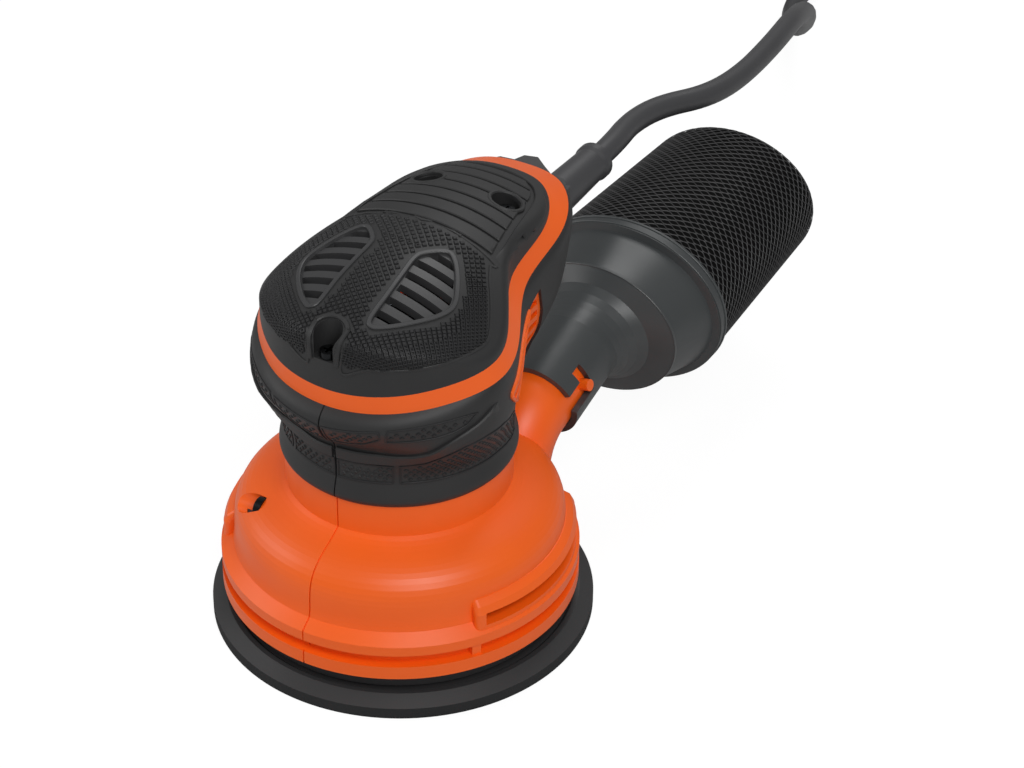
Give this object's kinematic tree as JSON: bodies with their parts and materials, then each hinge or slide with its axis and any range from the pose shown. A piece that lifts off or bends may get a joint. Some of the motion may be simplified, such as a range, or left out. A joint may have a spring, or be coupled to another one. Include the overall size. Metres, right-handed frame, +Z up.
{
  "type": "random orbital sander",
  "caption": "Corded random orbital palm sander with a round hook-and-loop pad, tall grip, rocker switch and a twist-lock mesh dust canister.",
  "frame": {"origin": "on the motor axis, in the plane of the pad's hook face, where the sander stands", "axes": "+Z up along the motor axis, +Y towards the cord and the dust canister, +X towards the right-hand shell"},
  "size_m": [0.2283, 0.6273, 0.1371],
  "materials": {
    "shell_orange": "satin moulded",
    "soft_grip": "matte overmould",
    "black_plastic": "satin",
    "cord_rubber": "satin",
    "collar_smoke": "satin",
    "mesh": "woven",
    "hook_fabric": "napped",
    "pad_foam": "closed cell foam",
    "pad_plate": "satin",
    "steel": "brushed",
    "laminations": "stacked sheet",
    "copper": "enamelled",
    "brass": "drawn",
    "carbon": "pressed",
    "alloy": "die cast"
  },
  "bodies": {
    "housing": {"lower_bearing": "steel", "upper_bearing": "steel", "field_core": "laminations", "field_coils": "copper", "end_bracket": "black_plastic", "brush_holders": "brass", "carbon_brushes": "carbon", "brush_springs": "steel", "motor_baffle": "black_plastic", "platen_seal": "black_plastic", "housing_left": "shell_orange", "housing_right": "shell_orange", "housing_screws": "steel", "grip_left": "soft_grip", "grip_right": "soft_grip", "air_grille_right": "shell_orange", "air_grille_left": "shell_orange", "cap_base": "shell_orange", "palm_cover": "soft_grip", "vent_grille_right": "black_plastic", "vent_grille_left": "black_plastic", "cap_screws": "steel", "switch_frame": "black_plastic", "switch_body": "black_plastic", "cord_guard": "cord_rubber", "cord_clamp": "black_plastic", "cord": "cord_rubber", "cord_coil": "cord_rubber", "plug": "cord_rubber"},
    "rotor": {"eccentric_weight": "alloy", "spindle_bearing": "steel", "fan": "black_plastic", "motor_shaft": "steel", "armature_core": "laminations", "armature_winding": "copper", "commutator": "copper"},
    "pad": {"hook_layer": "hook_fabric", "pad_foam": "pad_foam", "pad_plate": "pad_plate", "pad_spindle": "steel", "pad_screws": "steel"},
    "switch": {"switch_rocker": "black_plastic"},
    "collar": {"dust_collar": "collar_smoke"},
    "filter": {"filter_cup": "mesh", "filter_frame": "black_plastic"}
  },
  "joints": [
    {"name": "motor_spin", "type": "hinge", "parent": "housing", "child": "rotor", "pos_m": [0, 0, 0.06], "axis": [0, 0, 1], "continuous": true},
    {"name": "pad_spin", "type": "hinge", "parent": "rotor", "child": "pad", "pos_m": [0, 0.0012, 0.01], "axis": [0, 0, 1], "continuous": true},
    {"name": "switch_rock", "type": "hinge", "parent": "housing", "child": "switch", "pos_m": [0, 0.0786, 0.115], "axis": [0, 0, 1], "range_deg": [0, 16]},
    {"name": "collar_twist", "type": "hinge", "parent": "housing", "child": "collar", "pos_m": [0.0155, 0.062, 0.047], "axis": [0, 0.9659, 0.2588], "range_deg": [0, 16]},
    {"name": "cup_pull", "type": "slide", "parent": "collar", "child": "filter", "axis": [0, 1, 0], "range_m": [0, 0.045]}
  ]
}
